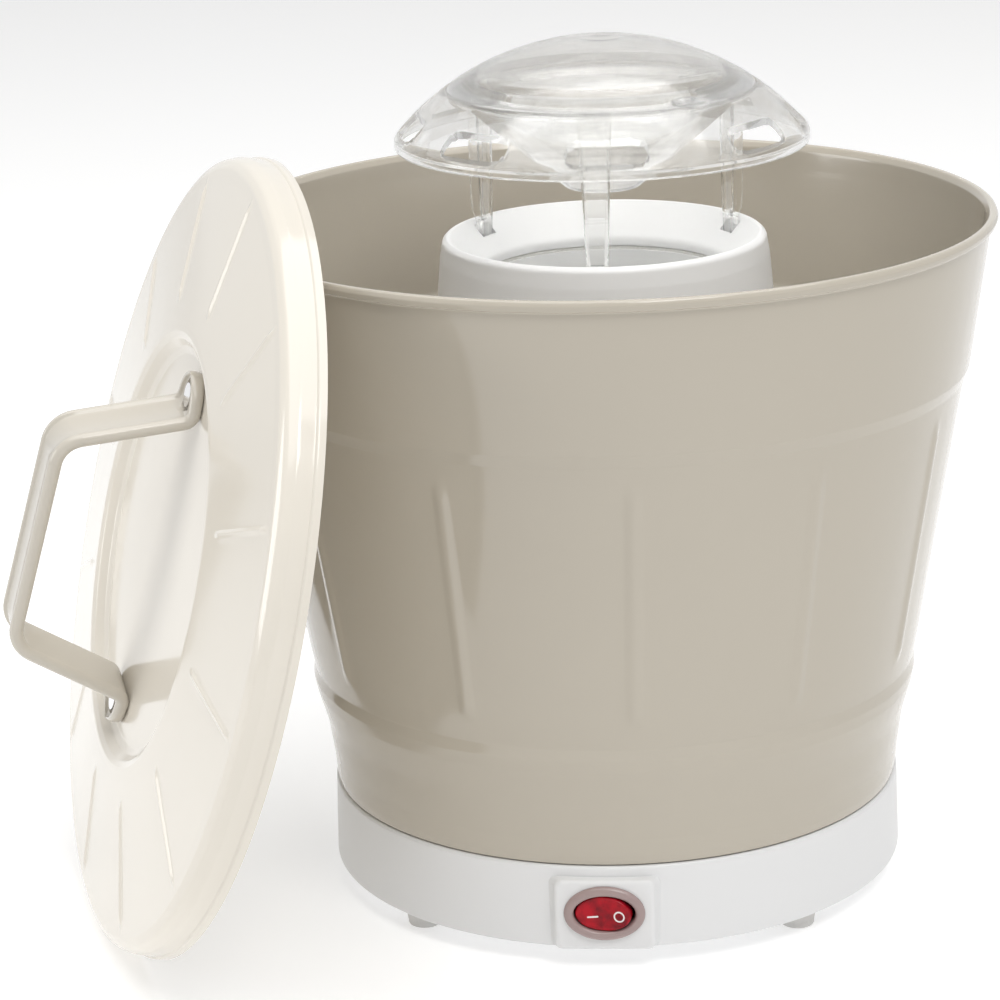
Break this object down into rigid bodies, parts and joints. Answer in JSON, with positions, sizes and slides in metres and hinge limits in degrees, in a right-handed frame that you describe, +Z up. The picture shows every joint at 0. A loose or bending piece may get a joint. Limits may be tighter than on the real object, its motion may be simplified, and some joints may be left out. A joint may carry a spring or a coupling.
{
  "type": "hot-air popcorn maker",
  "caption": "Countertop hot-air popcorn maker: round switched base with popping tower, tapered lift-off serving bucket, clear dispersing cap with domed measure, and handled lid.",
  "frame": {"origin": "centre of the whole object's bounding box, at the surface its feet stand on; the machine's own upright axis is at x = 0.0361, y = 0.0277", "axes": "+Z up; -Y is the front, the side with the switch; +X to the right seen from the front; the lid leans at the left"},
  "size_m": [0.3442, 0.3273, 0.301],
  "materials": {
    "white_abs": "smooth satin white",
    "taupe_plastic": "smooth satin",
    "cream_plastic": "smooth satin",
    "handle_plastic": "smooth satin",
    "clear_plastic": "clear and polished",
    "foot_rubber": "matte",
    "screw_steel": "zinc plated",
    "bright_screw": "bright",
    "gland_plastic": "matte",
    "bezel_plastic": "tinted, polished",
    "rocker_plastic": "tinted red, polished",
    "black_plastic": "matte",
    "terminal_brass": "plated",
    "motor_steel": "zinc plated",
    "magnet_ferrite": "dull",
    "rotor_steel": "laminated",
    "bush_bronze": "sintered",
    "board": "phenolic board",
    "diode_black": "moulded",
    "bracket_steel": "galvanised",
    "fan_plastic": "glass-filled",
    "housing_plastic": "glass-filled",
    "heater_steel": "aluminised",
    "mica": "flaky sheet",
    "nichrome": "oxidised",
    "cutout_metal": "plain",
    "fuse_metal": "plain",
    "chamber_aluminium": "brushed",
    "gasket": "felted silicone",
    "nut_steel": "zinc plated"
  },
  "bodies": {
    "base": {"base_housing": "white_abs", "base_plate": "white_abs", "foot_front_left": "foot_rubber", "foot_front_right": "foot_rubber", "foot_rear_left": "foot_rubber", "foot_rear_right": "foot_rubber", "base_screws": "screw_steel", "post_screws": "screw_steel", "cord_gland": "gland_plastic", "switch_bezel": "bezel_plastic", "switch_body": "black_plastic", "switch_terminals": "terminal_brass", "motor_can": "motor_steel", "motor_end_bell": "black_plastic", "motor_bushes": "bush_bronze", "motor_magnets": "magnet_ferrite", "diode_board": "board", "diodes": "diode_black", "motor_bracket": "bracket_steel", "motor_screws": "screw_steel", "bracket_screws": "screw_steel", "fan_housing": "housing_plastic", "heater_housing": "heater_steel", "heater_frame": "mica", "heater_coil": "nichrome", "thermostat": "cutout_metal", "thermal_fuse": "fuse_metal", "popping_chamber": "chamber_aluminium", "chamber_gasket": "gasket", "chamber_tower": "white_abs", "tower_screws": "screw_steel"},
    "fan": {"motor_shaft": "motor_steel", "motor_rotor": "rotor_steel", "fan_impeller": "fan_plastic"},
    "rocker": {"switch_rocker": "rocker_plastic"},
    "bucket": {"bucket": "taupe_plastic"},
    "lid": {"lid": "cream_plastic", "lid_handle": "handle_plastic", "handle_screws": "bright_screw", "handle_nuts": "nut_steel"},
    "cap": {"dispersing_cap": "clear_plastic", "deflector_cone": "clear_plastic"},
    "dome": {"measuring_cap": "clear_plastic"}
  },
  "joints": [
    {"name": "bucket_lift", "type": "slide", "parent": "base", "child": "bucket", "axis": [0, 0, 1], "range_m": [0, 0.2]},
    {"name": "lid_lift", "type": "slide", "parent": "bucket", "child": "lid", "axis": [0, 0, 1], "range_m": [0, 0.3]},
    {"name": "cap_lift", "type": "slide", "parent": "base", "child": "cap", "axis": [0, 0, 1], "range_m": [0, 0.1]},
    {"name": "dome_lift", "type": "slide", "parent": "cap", "child": "dome", "axis": [0, 0, 1], "range_m": [0, 0.06]},
    {"name": "power_rocker", "type": "hinge", "parent": "base", "child": "rocker", "pos_m": [0.0361, -0.0756, 0.021], "axis": [0, 0, 1], "range_deg": [0, 16]},
    {"name": "fan_spin", "type": "hinge", "parent": "base", "child": "fan", "pos_m": [0.0361, 0.0277, 0.061], "axis": [0, 0, 1], "continuous": true}
  ]
}
